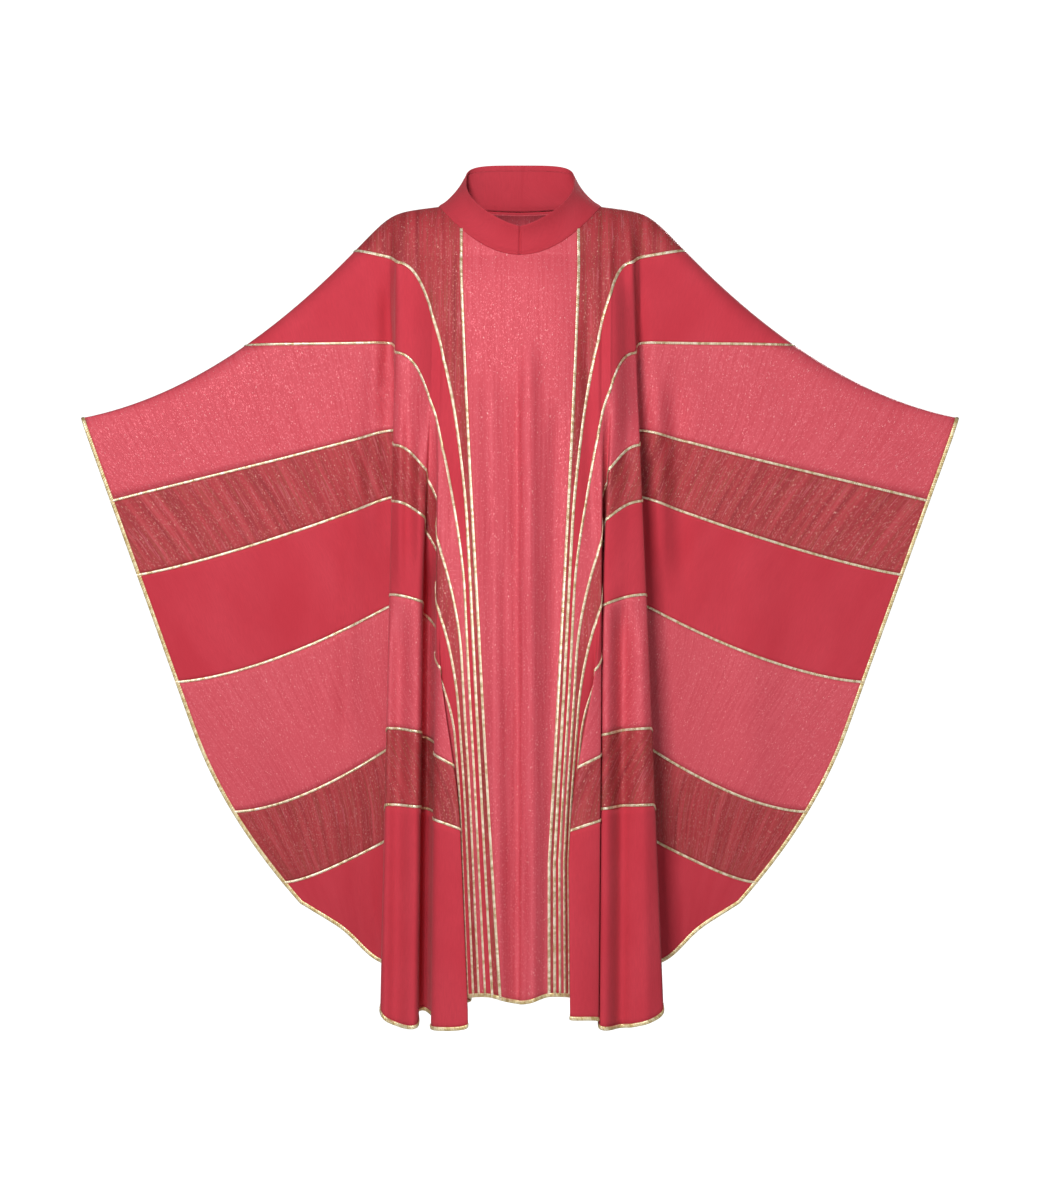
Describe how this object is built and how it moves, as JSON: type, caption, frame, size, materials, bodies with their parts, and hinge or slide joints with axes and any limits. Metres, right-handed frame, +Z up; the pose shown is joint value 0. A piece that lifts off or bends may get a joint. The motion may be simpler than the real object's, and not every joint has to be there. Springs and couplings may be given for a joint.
{
  "type": "chasuble",
  "caption": "Full-cut church chasuble with a stand-up collar, curved cloth panels with gold braid over the seams, and a bound edge, draped with its wings held out.",
  "frame": {"origin": "on the neck axis, at the height where the garment rests on the wearer's neck and shoulders", "axes": "+X from wing to wing, to the wearer's left; the front faces -Y; +Z up"},
  "size_m": [1.4042, 0.3843, 1.3713],
  "materials": {
    "plain_cloth": "matte woven wool blend",
    "glitter_cloth": "woven with fine metallic thread",
    "streaked_cloth": "woven with streaks of olive and gold thread",
    "collar_cloth": "matte woven wool blend",
    "gold_braid": "metallic gold braid",
    "collar_canvas": "stiff interlining canvas"
  },
  "bodies": {
    "root": {"left_yoke": "streaked_cloth", "left_upper_plain": "plain_cloth", "left_upper_glitter": "glitter_cloth", "left_front_upper_streaked": "streaked_cloth", "left_back_upper_streaked": "streaked_cloth", "left_front_middle_plain": "plain_cloth", "left_back_middle_plain": "plain_cloth", "left_front_lower_glitter": "glitter_cloth", "left_back_lower_glitter": "glitter_cloth", "left_front_lower_streaked": "streaked_cloth", "left_back_lower_streaked": "streaked_cloth", "left_front_hem_plain": "plain_cloth", "left_back_hem_plain": "plain_cloth", "left_front_band_0": "gold_braid", "left_back_band_0": "gold_braid", "left_band_1": "gold_braid", "left_band_2": "gold_braid", "left_front_band_3": "gold_braid", "left_back_band_3": "gold_braid", "left_front_band_4": "gold_braid", "left_back_band_4": "gold_braid", "left_front_band_5": "gold_braid", "left_back_band_5": "gold_braid", "left_front_band_6": "gold_braid", "left_back_band_6": "gold_braid", "left_front_band_7": "gold_braid", "left_back_band_7": "gold_braid", "right_yoke": "streaked_cloth", "right_upper_plain": "plain_cloth", "right_upper_glitter": "glitter_cloth", "right_front_upper_streaked": "streaked_cloth", "right_back_upper_streaked": "streaked_cloth", "right_front_middle_plain": "plain_cloth", "right_back_middle_plain": "plain_cloth", "right_front_lower_glitter": "glitter_cloth", "right_back_lower_glitter": "glitter_cloth", "right_front_lower_streaked": "streaked_cloth", "right_back_lower_streaked": "streaked_cloth", "right_front_hem_plain": "plain_cloth", "right_back_hem_plain": "plain_cloth", "right_front_band_0": "gold_braid", "right_back_band_0": "gold_braid", "right_band_1": "gold_braid", "right_band_2": "gold_braid", "right_front_band_3": "gold_braid", "right_back_band_3": "gold_braid", "right_front_band_4": "gold_braid", "right_back_band_4": "gold_braid", "right_front_band_5": "gold_braid", "right_back_band_5": "gold_braid", "right_front_band_6": "gold_braid", "right_back_band_6": "gold_braid", "right_front_band_7": "gold_braid", "right_back_band_7": "gold_braid", "centre_front_panel": "glitter_cloth", "centre_back_panel": "glitter_cloth", "edge_binding": "gold_braid", "collar_outer": "collar_cloth", "collar_interlining": "collar_canvas", "collar_facing": "collar_cloth"}
  },
  "joints": []
}
